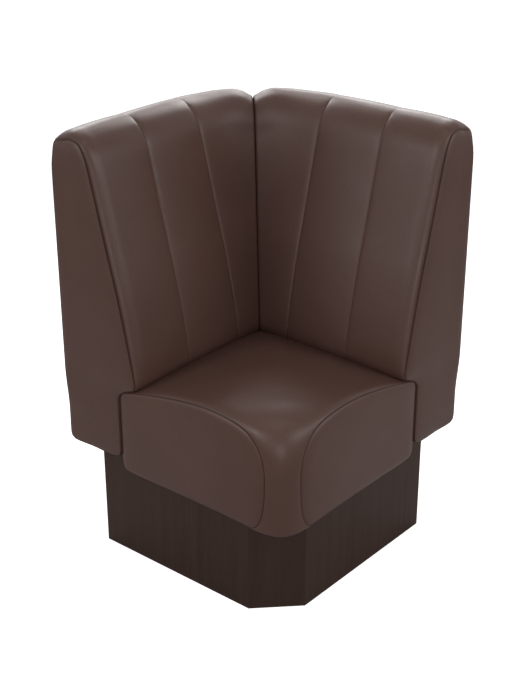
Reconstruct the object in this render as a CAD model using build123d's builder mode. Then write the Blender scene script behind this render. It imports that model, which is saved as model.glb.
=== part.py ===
from build123d import *
import os

os.makedirs("parts", exist_ok=True)

# The corner unit stands in two walls. A place in it is given by three distances: u from the left wall, v from
# the back wall and z from the floor. The unit is the same on both sides of the corner, so each piece of the left
# side is mirrored about the upright plane through the corner.

# Overall sizes
overall_length = 588.0
overall_height = 942.0
end_bulge = 8.0
half = overall_length / 2
end_plane = overall_length - end_bulge
run_out = 30.0

# Plinth
plinth_height = 238.0
plinth_rear_inset = 39.0
plinth_front_inset = 52.0
plinth_chamfer = 82.0
plinth_panel_thickness = 18.0
plinth_block_side = 36.0
plinth_block_height = 150.0
plinth_brace_height = 90.0
plinth_front = end_plane - plinth_front_inset

# Base frame on the plinth
base_rail_height = 31.0
base_rail_width = 45.0
base_top = plinth_height + base_rail_height

# Seat upholstery
seat_rear = 147.0
seat_crown_height = 483.0
seat_nose_inset = 20.0
seat_front_inset = 46.0
seat_side_swell = 5.0
seat_nose_reach = end_plane - seat_nose_inset
seat_front_reach = end_plane - seat_front_inset

# Seat boards
seat_board_thickness = 18.0
seat_deck_thickness = 12.0
seat_padding = 14.0
seat_corner_cut = 61.0
seat_board_clearance = 4.0
seat_board_lift = 2.0
# height of the deck's top as a share of the seat's height over the plinth
seat_deck_share = 0.5143
seat_deck_top = plinth_height + seat_deck_share * (seat_crown_height - plinth_height)

# Back upholstery
back_rear_drop = 17.0
back_crest_depth = 40.0
back_shoulder_drop = 52.0
back_shoulder_depth = 97.0
back_foot_drop = 31.0
back_foot_depth = 200.0
back_lower_depth = 139.0
back_foot_round = 25.0
back_seat_gap = 2.0
swell_low_drop = 100.0
swell_high_drop = 19.0
panel_crown = 1.5
back_roundover = 22.0
channel_depth = 4.0
channel_half_width = 9.0
corner_run = 150.0
corner_forward_top = 117.0
corner_forward_foot = 32.0
corner_crest_forward = 37.0
corner_shoulder_rise = 28.0
corner_foot_rise = 12.0
# the rear corner is cut off, and the tops of the two backs fall towards the cut and towards each other
rear_corner_drop = 38.0
rear_corner_fall_run = 44.0
valley_drop = 23.0
valley_half_width = 39.0
back_rear_height = overall_height - back_rear_drop
back_shoulder_height = overall_height - back_shoulder_drop
back_foot_height = seat_crown_height - back_foot_drop
swell_low_height = seat_crown_height - swell_low_drop
swell_high_height = seat_crown_height - swell_high_drop
# places of the channels and of the cut as shares of the back's length
outer_channel_share = 0.7207
inner_channel_share = 0.4569
rear_corner_share = 0.2759
rear_corner_cut = end_plane * rear_corner_share
outer_channel_run = end_plane * outer_channel_share
inner_channel_run = end_plane * inner_channel_share
# rises of the outline's arcs, as shares of their length
rear_bow_share = 0.06
top_bow_share = 0.155
front_bow_share = 0.012
foot_bow_share = 0.12
corner_top_bow_share = 0.02
corner_front_bow_share = 0.036
# the open end's rounding: how far along it, and how far the outline is drawn in, as shares of its radius
roundover_shares = [(0.0, 1.0), (0.15, 0.42), (0.5, 0.12), (1.0, 0.0)]

# Back boards
rib_thickness = 18.0
rail_height = 30.0
face_board_thickness = 6.0
rear_panel_thickness = 6.0
rear_panel_margin = 8.0
rib_rear_depth = rear_panel_thickness
corner_board_thickness = 18.0
corner_board_drop = 20.0
corner_rib_clearance = 1.4
frame_drop = 39.0
face_top_depth = 44.0
face_lower_depth = 122.0
face_bend_height = 551.0
rib_end_inset = 20.0
frame_top = overall_height - frame_drop

# Covers, foam and clearances
cover_thickness = 1.5
gusset_seam_inset = 2.0
soft_clearance = 0.3
cloth_thickness = 1.0
foam_inset = cover_thickness + soft_clearance

# Fasteners
screw_diameter = 5.0
screw_head_diameter = 9.0
screw_length = 70.0
bolt_diameter = 8.0
bolt_head_diameter = 13.0
bolt_head_height = 5.5
nut_diameter = 13.0
nut_height = 6.5
washer_diameter = 16.0
washer_thickness = 1.6
hole_clearance = 0.4
bolt_edge_distance = 12.0
cleat_length = 60.0

# length along the diagonal of a plan step of the same size along both walls, as a share of that step
diagonal_share = 2**0.5

# The planes of sections along the diagonal and across it, both with height as their second axis
DIAGONAL = Plane(origin=(0, 0, 0), x_dir=(0, 0, 1), z_dir=(1, 1, 0))
ALONG_DIAGONAL = Plane(origin=(-half, half, 0), x_dir=(1, -1, 0), z_dir=(-1, -1, 0))
ACROSS_DIAGONAL = Plane(origin=(-half, half, 0), x_dir=(-1, -1, 0), z_dir=(-1, 1, 0))
LOW = (Align.MIN, Align.MIN, Align.MIN)
BOTTOM = (Align.CENTER, Align.CENTER, Align.MIN)


def place(u, v):
    """The plan position of a point given by its distances from the two walls."""
    return (u - half, half - v)


def across(v):
    """The upright plane at distance v from the back wall, with depth u and height as its axes."""
    return Plane(origin=(-half, half - v, 0), x_dir=(1, 0, 0), z_dir=(0, -1, 0))


def write(piece, name):
    """Labels a finished piece and writes it."""
    piece.label = name
    export_step(piece, f"parts/{name}.step")


def write_mirrored(piece, name):
    """Writes the same piece on the other side of the corner."""
    with BuildPart() as twin:
        mirror(piece, about=DIAGONAL)
    twin.part.label = name
    export_step(twin.part, f"parts/{name}.step")


def board(u_from, u_to, v_from, v_to, z_from, z_to, mode=Mode.ADD):
    """A straight board between two distances from each wall and two heights."""
    x, y = place(u_from, v_to)
    with Locations((x, y, z_from)):
        Box(u_to - u_from, v_to - v_from, z_to - z_from, align=LOW, mode=mode)


def plan_block(points, z_from, z_to, mode=Mode.ADD):
    """An upright block with a straight-sided plan."""
    with BuildSketch(Plane.XY.offset(z_from)) as plan:
        with BuildLine():
            Polyline(*[place(u, v) for u, v in points], close=True)
        make_face()
    extrude(plan.sketch, amount=z_to - z_from, mode=mode)


def side_block(points, v_from, v_to, mode=Mode.ADD):
    """A block along the left wall with a straight-sided section of depths and heights."""
    with BuildSketch(across(v_from)) as section:
        with BuildLine():
            Polyline(*points, close=True)
        make_face()
    extrude(section.sketch, amount=v_to - v_from, mode=mode)


def drill(places, diameter, z_from, z_to):
    """Plain upright holes at a list of plan places."""
    with Locations(*[(*place(u, v), z_from) for u, v in places]):
        Cylinder(diameter / 2, z_to - z_from, align=BOTTOM, mode=Mode.SUBTRACT)


def upright_cylinders(places, diameter, z_from, z_to):
    """Upright cylinders at a list of plan places."""
    with Locations(*[(*place(u, v), z_from) for u, v in places]):
        Cylinder(diameter / 2, z_to - z_from, align=BOTTOM)


# The board of the cut rear corner, given by the sums u + v of its two faces, and the first rib beside it
corner_board_outer = rear_corner_cut + foam_inset * diagonal_share
corner_board_inner = corner_board_outer + corner_board_thickness * diagonal_share
corner_rib_start = corner_board_inner - rib_rear_depth + corner_rib_clearance
corner_rib_run = corner_rib_start + rib_thickness / 2

# Plinth outline and the places of its blocks
chamfer_start = plinth_front - plinth_chamfer
block_inner = plinth_rear_inset + plinth_panel_thickness
block_outer = plinth_front - plinth_panel_thickness
near_block = block_inner + plinth_block_side / 2
far_block = block_outer - plinth_block_side / 2
chamfer_block = chamfer_start - plinth_block_side / 2
block_places = [
    (near_block, near_block),
    (near_block, far_block),
    (far_block, near_block),
    (chamfer_block, far_block),
    (far_block, chamfer_block),
]
plinth_middle = (plinth_rear_inset + plinth_front) / 2

with BuildPart() as plinth_left_end_panel:
    board(plinth_rear_inset, chamfer_start, block_outer, plinth_front, 0, plinth_height)
write(plinth_left_end_panel.part, "plinth_left_end_panel")
write_mirrored(plinth_left_end_panel.part, "plinth_right_end_panel")

with BuildPart() as plinth_corner_panel:
    plan_block(
        [
            (chamfer_start, plinth_front),
            (plinth_front, chamfer_start),
            (block_outer, chamfer_start),
            (chamfer_start, block_outer),
        ],
        0,
        plinth_height,
    )
write(plinth_corner_panel.part, "plinth_corner_panel")

with BuildPart() as plinth_left_rear_panel:
    board(plinth_rear_inset, block_inner, block_inner, block_outer, 0, plinth_height)
write(plinth_left_rear_panel.part, "plinth_left_rear_panel")

with BuildPart() as plinth_back_rear_panel:
    board(plinth_rear_inset, block_outer, plinth_rear_inset, block_inner, 0, plinth_height)
    board(block_outer, plinth_front, plinth_rear_inset, block_inner, 0, plinth_height, Mode.SUBTRACT)
write(plinth_back_rear_panel.part, "plinth_back_rear_panel")

with BuildPart() as plinth_brace:
    board(
        block_inner,
        block_outer,
        plinth_middle - plinth_panel_thickness / 2,
        plinth_middle + plinth_panel_thickness / 2,
        plinth_height - plinth_brace_height,
        plinth_height,
    )
write(plinth_brace.part, "plinth_brace")

with BuildPart() as plinth_corner_blocks:
    for block_u, block_v in block_places:
        board(
            block_u - plinth_block_side / 2,
            block_u + plinth_block_side / 2,
            block_v - plinth_block_side / 2,
            block_v + plinth_block_side / 2,
            plinth_height - plinth_block_height,
            plinth_height,
        )
    drill(block_places, screw_diameter + hole_clearance, plinth_height - screw_length, plinth_height)
write(plinth_corner_blocks.part, "plinth_corner_blocks")

# Base frame: four sides, the corner and a middle rail, with the bolts' places
rail_inner = plinth_rear_inset + base_rail_width
rail_outer = plinth_front - base_rail_width
corner_rail_start = chamfer_start - base_rail_width
back_bolt_depth = block_inner + bolt_edge_distance
back_bolt_runs = [
    (corner_rib_run + inner_channel_run) / 2,
    (inner_channel_run + outer_channel_run) / 2,
    (outer_channel_run + rib_thickness / 2 + block_outer - plinth_block_side) / 2,
]
left_back_bolts = [(back_bolt_depth, run) for run in back_bolt_runs]
right_back_bolts = [(run, back_bolt_depth) for run in back_bolt_runs]
seat_bolt_run = plinth_middle + base_rail_width
seat_bolt_depth = block_outer - bolt_edge_distance
seat_bolts = [(seat_bolt_run, seat_bolt_depth), (seat_bolt_depth, seat_bolt_run)]
all_bolts = left_back_bolts + right_back_bolts + seat_bolts


def drill_base():
    """Holes in the base frame for the screws into the blocks and for the bolts of backs and seat."""
    drill(block_places, screw_diameter + hole_clearance, plinth_height, base_top)
    drill(all_bolts, bolt_diameter + hole_clearance, plinth_height, base_top)
    for u, v in block_places:
        with Locations((*place(u, v), base_top)):
            Cone(
                screw_diameter / 2,
                (screw_head_diameter + hole_clearance) / 2,
                (screw_head_diameter - screw_diameter) / 2,
                align=(Align.CENTER, Align.CENTER, Align.MAX),
                mode=Mode.SUBTRACT,
            )


with BuildPart() as base_left_rail:
    board(plinth_rear_inset, rail_inner, rail_inner, rail_outer, plinth_height, base_top)
    drill_base()
write(base_left_rail.part, "base_left_rail")

with BuildPart() as base_back_rail:
    board(plinth_rear_inset, plinth_front, plinth_rear_inset, rail_inner, plinth_height, base_top)
    drill_base()
write(base_back_rail.part, "base_back_rail")

with BuildPart() as base_left_end_rail:
    board(plinth_rear_inset, corner_rail_start, rail_outer, plinth_front, plinth_height, base_top)
    drill_base()
write(base_left_end_rail.part, "base_left_end_rail")

with BuildPart() as base_right_end_rail:
    board(rail_outer, plinth_front, rail_inner, corner_rail_start, plinth_height, base_top)
    drill_base()
write(base_right_end_rail.part, "base_right_end_rail")

with BuildPart() as base_corner_rail:
    plan_block(
        [
            (corner_rail_start, plinth_front),
            (chamfer_start, plinth_front),
            (plinth_front, chamfer_start),
            (plinth_front, corner_rail_start),
            (rail_outer, corner_rail_start),
            (corner_rail_start, rail_outer),
        ],
        plinth_height,
        base_top,
    )
    drill_base()
write(base_corner_rail.part, "base_corner_rail")

with BuildPart() as base_middle_rail:
    board(
        rail_inner,
        rail_outer,
        plinth_middle - base_rail_width / 2,
        plinth_middle + base_rail_width / 2,
        plinth_height,
        base_top,
    )
write(base_middle_rail.part, "base_middle_rail")

with BuildPart() as base_screws:
    upright_cylinders(block_places, screw_diameter, base_top - screw_length, base_top)
    for block_u, block_v in block_places:
        with Locations((*place(block_u, block_v), base_top)):
            Cone(
                screw_diameter / 2,
                screw_head_diameter / 2,
                (screw_head_diameter - screw_diameter) / 2,
                align=(Align.CENTER, Align.CENTER, Align.MAX),
            )
write(base_screws.part, "base_screws")

# Seat form: level outlines from the bottom to the crown. Each row gives the height, the depth at which the rear
# edge stands, the depth at which the side gives way to the nose, the reach of the side and of the nose.
seat_bottom = plinth_height
seat_rise = seat_crown_height - seat_bottom
seat_run = seat_front_reach - seat_rear
# shares of the seat's height, of its depth (rear and front), and of the side's and the nose's reach
seat_level_shares = [
    (0.0, 0.0, 0.925, 0.9966, 0.968),
    (0.106, 0.0, 0.964, 1.0, 0.986),
    (0.237, 0.0, 0.984, 1.0, 0.994),
    (0.396, 0.0, 1.0, 1.0, 1.0),
    (0.555, 0.0, 1.0, 1.0, 1.0),
    (0.71, 0.0, 0.979, 1.0, 0.993),
    (0.816, 0.181, 0.943, 1.0, 0.977),
    (0.894, 0.323, 0.871, 0.997, 0.945),
    (0.943, 0.46, 0.76, 0.99, 0.893),
    (0.98, 0.53, 0.72, 0.93, 0.839),
    (1.0, 0.58, 0.68, 0.86, 0.78),
]
seat_side_levels = 9
seat_slope_share = 0.7


def seat_levels(inset):
    """Heights and reaches of the level outlines, drawn in evenly all round and down at the top."""
    levels = []
    for height_share, rear_share, front_share, side_share, nose_share in seat_level_shares:
        drop = inset if height_share > seat_slope_share else 0
        levels.append(
            (
                seat_bottom + height_share * seat_rise - drop,
                seat_rear + rear_share * seat_run + inset,
                seat_rear + front_share * seat_run - inset,
                end_plane * side_share - inset,
                seat_nose_reach * nose_share - inset,
            )
        )
    return levels


def seat_form(inset, mode=Mode.ADD):
    """The crowned seat: two flat-sided wings and a rounded nose between them."""
    outlines = []
    for z, rear, front, side, nose in seat_levels(inset):
        swell = seat_side_swell
        with BuildSketch(Plane.XY.offset(z)) as outline:
            with BuildLine():
                Line(place(rear, rear), place(rear, side))
                ThreePointArc(place(rear, side), place((rear + front) / 2, side + swell), place(front, side))
                ThreePointArc(place(front, side), place(nose, nose), place(side, front))
                ThreePointArc(place(side, front), place(side + swell, (rear + front) / 2), place(side, rear))
                Line(place(side, rear), place(rear, rear))
            make_face()
        outlines.append(outline.sketch.faces()[0])
    loft(outlines, ruled=True, mode=mode)


def seat_slope(depth):
    """Height of the seat's top where it runs in under the backs."""
    levels = seat_levels(0)
    low, high = levels[seat_side_levels - 4], levels[seat_side_levels - 2]
    return low[0] + (depth - low[1]) * (high[0] - low[0]) / (high[1] - low[1])


def gusset_outline():
    """The seam round the side of the seat, drawn in a little from the edge of the form."""
    levels = seat_levels(gusset_seam_inset)[:seat_side_levels]
    rear_side = [(rear, z) for z, rear, front, side, nose in levels]
    front_side = [(front, z) for z, rear, front, side, nose in reversed(levels)]
    return rear_side + front_side


gusset_inner = end_plane - seat_padding
cloth_inner = plinth_front + soft_clearance
cloth_chamfer = chamfer_start + soft_clearance
with BuildPart() as seat_shell:
    seat_form(0)
    seat_form(cover_thickness, Mode.SUBTRACT)
    board(0, cloth_inner, 0, cloth_inner, 0, base_top + soft_clearance, Mode.SUBTRACT)

with BuildPart() as seat_left_gusset:
    add(seat_shell.part)
    side_block(gusset_outline(), gusset_inner, end_plane + run_out, Mode.INTERSECT)
write(seat_left_gusset.part, "seat_left_gusset")
write_mirrored(seat_left_gusset.part, "seat_right_gusset")

with BuildPart() as seat_cover:
    add(seat_shell.part)
    add(seat_left_gusset.part, mode=Mode.SUBTRACT)
    mirror(seat_left_gusset.part, about=DIAGONAL, mode=Mode.SUBTRACT)
write(seat_cover.part, "seat_cover")

# Seat boards inside the upholstery
seat_board_rear = seat_rear + seat_board_clearance
seat_board_reach = end_plane - seat_padding
seat_board_corner = seat_board_reach - seat_corner_cut
seat_rail_inner = seat_board_rear + seat_board_thickness
apron_inner = seat_board_reach - seat_board_thickness
apron_bottom = seat_bottom + seat_board_lift
deck_bottom = seat_deck_top - seat_deck_thickness
fixing_top = base_top + rail_height

with BuildPart() as seat_left_apron:
    board(seat_rail_inner, seat_board_corner, apron_inner, seat_board_reach, apron_bottom, deck_bottom)
write(seat_left_apron.part, "seat_left_apron")
write_mirrored(seat_left_apron.part, "seat_right_apron")

with BuildPart() as seat_corner_apron:
    plan_block(
        [
            (seat_board_corner, seat_board_reach),
            (seat_board_reach, seat_board_corner),
            (apron_inner, seat_board_corner),
            (seat_board_corner, apron_inner),
        ],
        apron_bottom,
        deck_bottom,
    )
write(seat_corner_apron.part, "seat_corner_apron")

with BuildPart() as seat_left_rear_rail:
    board(seat_board_rear, seat_rail_inner, seat_rail_inner, seat_board_reach, base_top, deck_bottom)
write(seat_left_rear_rail.part, "seat_left_rear_rail")

with BuildPart() as seat_back_rear_rail:
    board(seat_board_rear, seat_board_reach, seat_board_rear, seat_rail_inner, base_top, deck_bottom)
write(seat_back_rear_rail.part, "seat_back_rear_rail")

with BuildPart() as seat_cross_rail:
    board(
        seat_rail_inner,
        apron_inner,
        plinth_middle - seat_board_thickness / 2,
        plinth_middle + seat_board_thickness / 2,
        base_top,
        deck_bottom,
    )
write(seat_cross_rail.part, "seat_cross_rail")

seat_left_cleat_box = (
    seat_bolt_run - cleat_length / 2,
    seat_bolt_run + cleat_length / 2,
    rail_outer,
    apron_inner,
)
with BuildPart() as seat_fixing_cleats:
    low_u, high_u, low_v, high_v = seat_left_cleat_box
    board(low_u, high_u, low_v, high_v, base_top, fixing_top)
    board(low_v, high_v, low_u, high_u, base_top, fixing_top)
    drill(seat_bolts, bolt_diameter + hole_clearance, base_top, fixing_top)
write(seat_fixing_cleats.part, "seat_fixing_cleats")

seat_board_plan = [
    (seat_board_rear, seat_board_rear),
    (seat_board_rear, seat_board_reach),
    (seat_board_corner, seat_board_reach),
    (seat_board_reach, seat_board_corner),
    (seat_board_reach, seat_board_rear),
]
with BuildPart() as seat_deck:
    plan_block(seat_board_plan, deck_bottom, seat_deck_top)
write(seat_deck.part, "seat_deck")

with BuildPart() as seat_foam:
    seat_form(foam_inset)
    board(0, overall_length, 0, overall_length, 0, seat_deck_top, Mode.SUBTRACT)
write(seat_foam.part, "seat_foam")

edge_reach = seat_board_reach + soft_clearance
edge_corner = seat_board_corner + soft_clearance
with BuildPart() as seat_edge_foam:
    seat_form(foam_inset)
    board(0, overall_length, 0, overall_length, 0, apron_bottom, Mode.SUBTRACT)
    board(0, overall_length, 0, overall_length, seat_deck_top, overall_height, Mode.SUBTRACT)
    plan_block(
        [(0, 0), (0, edge_reach), (edge_corner, edge_reach), (edge_reach, edge_corner), (edge_reach, 0)],
        0,
        overall_height,
        Mode.SUBTRACT,
    )
    board(0, seat_board_rear, 0, overall_length, 0, overall_height, Mode.SUBTRACT)
    board(0, overall_length, 0, seat_board_rear, 0, overall_height, Mode.SUBTRACT)
write(seat_edge_foam.part, "seat_edge_foam")

with BuildPart() as seat_bottom_cloth:
    plan_block(seat_board_plan, apron_bottom - cloth_thickness, apron_bottom)
    plan_block(
        [
            (0, 0),
            (0, cloth_inner),
            (cloth_chamfer, cloth_inner),
            (cloth_inner, cloth_chamfer),
            (cloth_inner, 0),
        ],
        0,
        apron_bottom,
        Mode.SUBTRACT,
    )
write(seat_bottom_cloth.part, "seat_bottom_cloth")

# Boards of the left back, from the corner to the open end
rib_end = end_plane - rib_end_inset
face_slope = (face_lower_depth - face_top_depth) / (frame_top - face_bend_height)
rib_top = frame_top - rail_height
rib_lower_depth = face_lower_depth - face_board_thickness
rib_top_depth = face_top_depth - face_board_thickness
rib_runs = [corner_rib_run, inner_channel_run, outer_channel_run, rib_end - rib_thickness / 2]


def cut_corner(gap):
    """Takes away all that lies past the mitre plane of the corner."""
    plan_block(
        [(-run_out, gap - run_out), (half, half + gap), (half, -run_out)],
        0,
        overall_height + run_out,
        Mode.SUBTRACT,
    )


def cut_rear_corner(sum_of_runs, z_to):
    """Takes away the rear corner up to the upright plane with the given sum of the distances to the walls."""
    plan_block(
        [(-run_out, -run_out), (sum_of_runs + run_out, -run_out), (-run_out, sum_of_runs + run_out)],
        0,
        z_to,
        Mode.SUBTRACT,
    )


def cut_above(plane, points):
    """Takes away all that lies over a line of points in an upright plane, on both sides of that plane."""
    (first, first_height), (last, last_height) = points
    top = overall_height + run_out
    with BuildSketch(plane) as section:
        with BuildLine():
            Polyline(
                (first - run_out, first_height),
                (first, first_height),
                (last, last_height),
                (last, top),
                (first - run_out, top),
                close=True,
            )
        make_face()
    extrude(section.sketch, amount=overall_length, both=True, mode=Mode.SUBTRACT)


def corner_fall(inset):
    """The top's fall towards the cut rear corner."""
    edge = rear_corner_cut / diagonal_share
    crest = overall_height - inset
    cut_above(ALONG_DIAGONAL, [(edge, crest - rear_corner_drop), (edge + rear_corner_fall_run, crest)])


def round_corner(inset):
    """The cut rear corner, with the top falling towards it and towards the mitre."""
    cut_rear_corner(rear_corner_cut + inset * diagonal_share, overall_height + run_out)
    corner_fall(inset)
    crest = overall_height - inset
    cut_above(ACROSS_DIAGONAL, [(0, crest - valley_drop), (valley_half_width, crest)])


with BuildPart() as left_back_ribs:
    for run in rib_runs:
        side_block(
            [
                (rib_rear_depth, fixing_top),
                (rib_rear_depth, rib_top),
                (rib_top_depth + face_slope * rail_height, rib_top),
                (rib_lower_depth, face_bend_height),
                (rib_lower_depth, fixing_top),
            ],
            run - rib_thickness / 2,
            run + rib_thickness / 2,
        )
write(left_back_ribs.part, "left_back_ribs")
write_mirrored(left_back_ribs.part, "right_back_ribs")

with BuildPart() as left_back_bottom_rail:
    board(rib_rear_depth, rib_lower_depth, corner_rib_start, rib_end, base_top, fixing_top)
    drill(left_back_bolts, bolt_diameter + hole_clearance, base_top, fixing_top)
write(left_back_bottom_rail.part, "left_back_bottom_rail")
write_mirrored(left_back_bottom_rail.part, "right_back_bottom_rail")

tie_near = corner_board_inner - rib_rear_depth
tie_far = 2 * rib_lower_depth - corner_rib_start
with BuildPart() as back_corner_tie:
    plan_block(
        [
            (rib_rear_depth, tie_near),
            (rib_rear_depth, corner_rib_start),
            (tie_far, corner_rib_start),
            (corner_rib_start, tie_far),
            (corner_rib_start, rib_rear_depth),
            (tie_near, rib_rear_depth),
        ],
        base_top,
        fixing_top,
    )
write(back_corner_tie.part, "back_corner_tie")

with BuildPart() as left_back_top_rail:
    plan_block(
        [
            (rib_rear_depth, corner_board_inner - rib_rear_depth),
            (rib_top_depth, corner_board_inner - rib_top_depth),
            (rib_top_depth, rib_end),
            (rib_rear_depth, rib_end),
        ],
        rib_top,
        frame_top,
    )
write(left_back_top_rail.part, "left_back_top_rail")
write_mirrored(left_back_top_rail.part, "right_back_top_rail")

with BuildPart() as left_back_middle_rails:
    for near_run, far_run in zip(rib_runs, rib_runs[1:]):
        board(
            rib_lower_depth - rail_height,
            rib_lower_depth,
            near_run + rib_thickness / 2,
            far_run - rib_thickness / 2,
            face_bend_height - rail_height,
            face_bend_height,
        )
write(left_back_middle_rails.part, "left_back_middle_rails")
write_mirrored(left_back_middle_rails.part, "right_back_middle_rails")

with BuildPart() as left_back_face_board:
    side_block(
        [
            (rib_top_depth, frame_top),
            (face_top_depth, frame_top),
            (face_lower_depth, face_bend_height),
            (rib_lower_depth, face_bend_height),
        ],
        0,
        rib_end,
    )
    cut_corner(soft_clearance)
    cut_rear_corner(corner_board_inner, overall_height)
write(left_back_face_board.part, "left_back_face_board")
write_mirrored(left_back_face_board.part, "right_back_face_board")

with BuildPart() as left_back_lower_board:
    board(rib_lower_depth, face_lower_depth, 0, rib_end, base_top, face_bend_height)
    cut_corner(soft_clearance)
write(left_back_lower_board.part, "left_back_lower_board")
write_mirrored(left_back_lower_board.part, "right_back_lower_board")

rear_panel_end = end_plane - rear_panel_margin
rear_panel_top = back_rear_height - rear_panel_margin
with BuildPart() as left_back_rear_panel:
    board(0, rear_panel_thickness, corner_board_outer, rear_panel_end, base_top, rear_panel_top)
    corner_fall(rear_panel_margin)
write(left_back_rear_panel.part, "left_back_rear_panel")
write_mirrored(left_back_rear_panel.part, "right_back_rear_panel")

corner_board_top = frame_top - corner_board_drop
with BuildPart() as back_corner_board:
    plan_block(
        [
            (rib_rear_depth, corner_board_outer - rib_rear_depth),
            (rib_rear_depth, corner_board_inner - rib_rear_depth),
            (corner_board_inner - rib_rear_depth, rib_rear_depth),
            (corner_board_outer - rib_rear_depth, rib_rear_depth),
        ],
        base_top,
        corner_board_top,
    )
write(back_corner_board.part, "back_corner_board")


def bowed(start, end, share):
    """An arc whose rise is a share of the distance between its ends, to the left of its way."""
    (x1, y1), (x2, y2) = start, end
    middle = ((x1 + x2) / 2 + share * (y1 - y2), (y1 + y2) / 2 + share * (x2 - x1))
    ThreePointArc(start, middle, end)


def back_section(run, draw, forward, inset, rear):
    """The back's outline across its run: drawn in at the front, and forward near the corner as a share."""
    shoulder = (
        back_shoulder_depth + forward * corner_forward_top - draw - inset,
        back_shoulder_height + forward * corner_shoulder_rise - draw - inset,
    )
    foot = (
        back_foot_depth + forward * corner_forward_foot - draw - inset,
        back_foot_height + forward * corner_foot_rise,
    )
    crest = (
        back_crest_depth + forward * corner_crest_forward,
        overall_height - panel_crown - draw - inset,
    )
    rear_top = (rear, back_rear_height - draw - inset)
    under_depth = foot[0] - back_foot_round
    under = (under_depth, seat_slope(under_depth) + back_seat_gap + inset)
    lower_depth = back_lower_depth - inset
    lower = (lower_depth, seat_slope(back_lower_depth) + back_seat_gap + inset)
    top_share = top_bow_share + forward * (corner_top_bow_share - top_bow_share)
    front_share = front_bow_share + forward * (corner_front_bow_share - front_bow_share)
    with BuildSketch(across(run)) as section:
        with BuildLine():
            Line((rear, base_top), rear_top)
            bowed(rear_top, crest, rear_bow_share)
            bowed(crest, shoulder, top_share)
            bowed(shoulder, foot, front_share)
            bowed(foot, under, foot_bow_share)
            Line(under, lower)
            Line(lower, (lower_depth, base_top))
            Line((lower_depth, base_top), (rear, base_top))
        make_face()
    return section.sketch.faces()[0]


def back_form(inset, rear):
    """The left back: a rounded open end, three panels parted by two channels, and the corner panel."""
    run_end = overall_length - inset
    stations = []
    for along_share, in_share in roundover_shares:
        stations.append((run_end - along_share * back_roundover, in_share * back_roundover, 0))
    panel_start = run_end - back_roundover
    for channel in (outer_channel_run, inner_channel_run):
        middle = (panel_start + channel + channel_half_width) / 2
        stations.append((middle, -panel_crown, 0))
        stations.append((channel + channel_half_width, 0, 0))
        stations.append((channel, channel_depth, 0))
        panel_start = channel - channel_half_width
        forward = max(0, inner_channel_run - panel_start) / (inner_channel_run - corner_run)
        stations.append((panel_start, 0, forward))
    stations.append((corner_run, 0, 1))
    stations.append((0, 0, 1))
    loft([back_section(run, draw, forward, inset, rear) for run, draw, forward in stations], ruled=True)
    # below the seat's top the end is flat, and it swells to its full width above
    with BuildSketch(Plane(origin=(half, half, 0), x_dir=(0, -1, 0), z_dir=(-1, 0, 0))) as end_trim:
        with BuildLine():
            Polyline(
                (end_plane - inset, 0),
                (end_plane - inset, swell_low_height),
                (overall_length - inset, swell_high_height),
                (overall_length + run_out, swell_high_height),
                (overall_length + run_out, 0),
                close=True,
            )
        make_face()
    extrude(end_trim.sketch, amount=overall_length + run_out, mode=Mode.SUBTRACT)


with BuildPart() as left_back_hollow:
    back_form(cover_thickness, -cover_thickness)
    round_corner(cover_thickness)

with BuildPart() as left_back_shell:
    back_form(0, 0)
    round_corner(0)
    add(left_back_hollow.part, mode=Mode.SUBTRACT)
    cut_corner(soft_clearance)

with BuildPart() as left_back_end_panel:
    add(left_back_shell.part)
    end_seam = back_section(
        seat_board_reach, back_roundover + gusset_seam_inset, 0, gusset_seam_inset, gusset_seam_inset
    )
    extrude(end_seam, amount=seat_padding + run_out, dir=(0, -1, 0), mode=Mode.INTERSECT)
write(left_back_end_panel.part, "left_back_end_panel")
write_mirrored(left_back_end_panel.part, "right_back_end_panel")

with BuildPart() as left_back_cover:
    add(left_back_shell.part)
    add(left_back_end_panel.part, mode=Mode.SUBTRACT)
write(left_back_cover.part, "left_back_cover")
write_mirrored(left_back_cover.part, "right_back_cover")

foam_rear = rib_rear_depth + soft_clearance
with BuildPart() as left_back_foam:
    back_form(foam_inset, 0)
    round_corner(foam_inset)
    cut_rear_corner(corner_board_inner + soft_clearance, corner_board_top + soft_clearance)
    side_block(
        [
            (-run_out, 0),
            (-run_out, frame_top + soft_clearance),
            (face_top_depth + soft_clearance, frame_top + soft_clearance),
            (face_lower_depth + soft_clearance, face_bend_height),
            (face_lower_depth + soft_clearance, 0),
        ],
        -run_out,
        rib_end + soft_clearance,
        Mode.SUBTRACT,
    )
    board(-run_out, foam_rear, -run_out, overall_length, 0, overall_height, Mode.SUBTRACT)
    cut_corner(soft_clearance)
write(left_back_foam.part, "left_back_foam")
write_mirrored(left_back_foam.part, "right_back_foam")

# Bolts up through the base frame, with washers and nuts on what they hold
bolt_end = fixing_top + washer_thickness + nut_height
with BuildPart() as frame_bolts:
    upright_cylinders(all_bolts, bolt_diameter, plinth_height - bolt_head_height / 2, bolt_end)
    with BuildSketch(Plane.XY.offset(plinth_height - bolt_head_height)) as heads:
        with Locations(*[place(u, v) for u, v in all_bolts]):
            RegularPolygon(bolt_head_diameter / 2, side_count=6, major_radius=False)
    extrude(heads.sketch, amount=bolt_head_height)
write(frame_bolts.part, "frame_bolts")

with BuildPart() as frame_washers:
    upright_cylinders(all_bolts, washer_diameter, fixing_top, fixing_top + washer_thickness)
    drill(all_bolts, bolt_diameter + hole_clearance, fixing_top, fixing_top + washer_thickness)
write(frame_washers.part, "frame_washers")

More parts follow.
